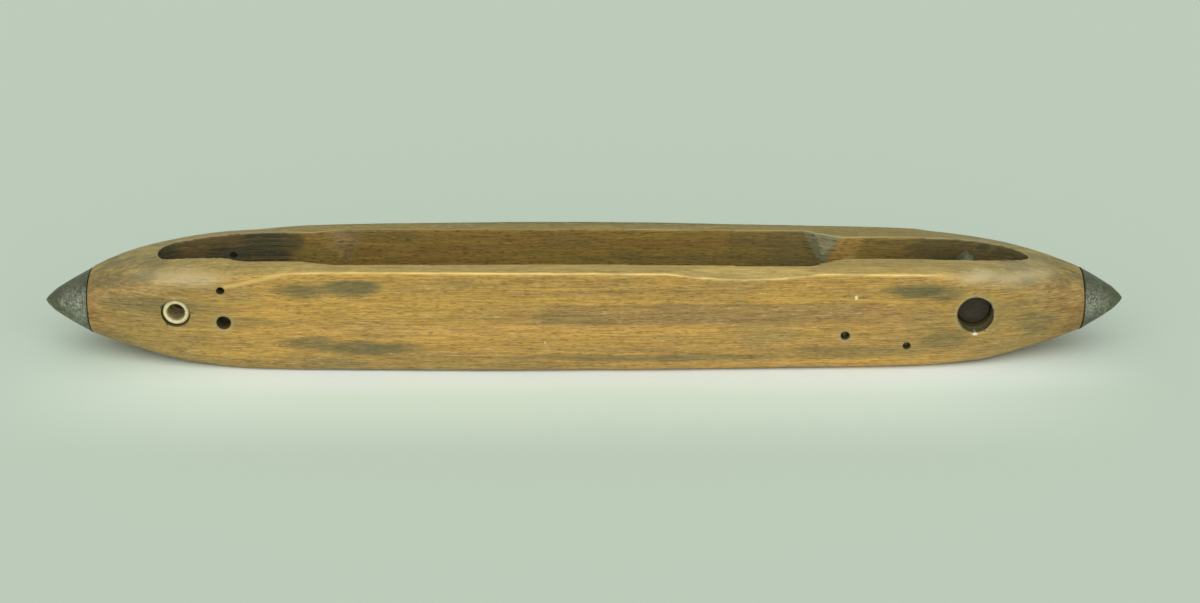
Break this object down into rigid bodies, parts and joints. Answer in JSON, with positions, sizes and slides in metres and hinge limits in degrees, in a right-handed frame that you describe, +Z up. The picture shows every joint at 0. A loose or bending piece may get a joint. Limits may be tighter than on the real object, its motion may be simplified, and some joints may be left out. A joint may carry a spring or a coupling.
{
  "type": "weaving shuttle",
  "caption": "Hardwood loom shuttle with steel points, an open pirn pocket, a glazed yarn eye and a spindle that swings up for loading.",
  "frame": {"origin": "centre of the flat base of the shuttle", "axes": "+X along the shuttle towards the end that holds the spindle heel, +Y to the back wall, away from the yarn eye, +Z up out of the open pocket"},
  "size_m": [0.37, 0.044, 0.0374],
  "materials": {
    "body_wood": "golden brown beech, waxed by use, with dark flecks along the grain and grey-green smudges",
    "tip_steel": "forged steel, mottled grey with a dark patina",
    "eye_glaze": "cream glazed porcelain",
    "heel_steel": "dark forged steel",
    "spindle_steel": "ground steel polished by the pirns",
    "spring_steel": "grey spring steel strip",
    "pin_steel": "dull grey steel wire",
    "dowel_wood": "dark reddish brown hardwood end grain"
  },
  "bodies": {
    "shuttle": {"shuttle_body": "body_wood", "left_tip": "tip_steel", "right_tip": "tip_steel", "yarn_eye": "eye_glaze", "pivot_pin": "pin_steel", "rest_pin": "pin_steel", "heel_spring": "spring_steel", "spring_dowel": "dowel_wood"},
    "spindle_arm": {"spindle_heel": "heel_steel", "spindle": "spindle_steel", "grip_spring": "spring_steel"}
  },
  "joints": [
    {"name": "spindle_swing", "type": "hinge", "parent": "shuttle", "child": "spindle_arm", "pos_m": [0.1089, 0, 0.0089], "axis": [0, 1, 0], "range_deg": [0, 80], "deforming": ["heel_spring"]}
  ]
}
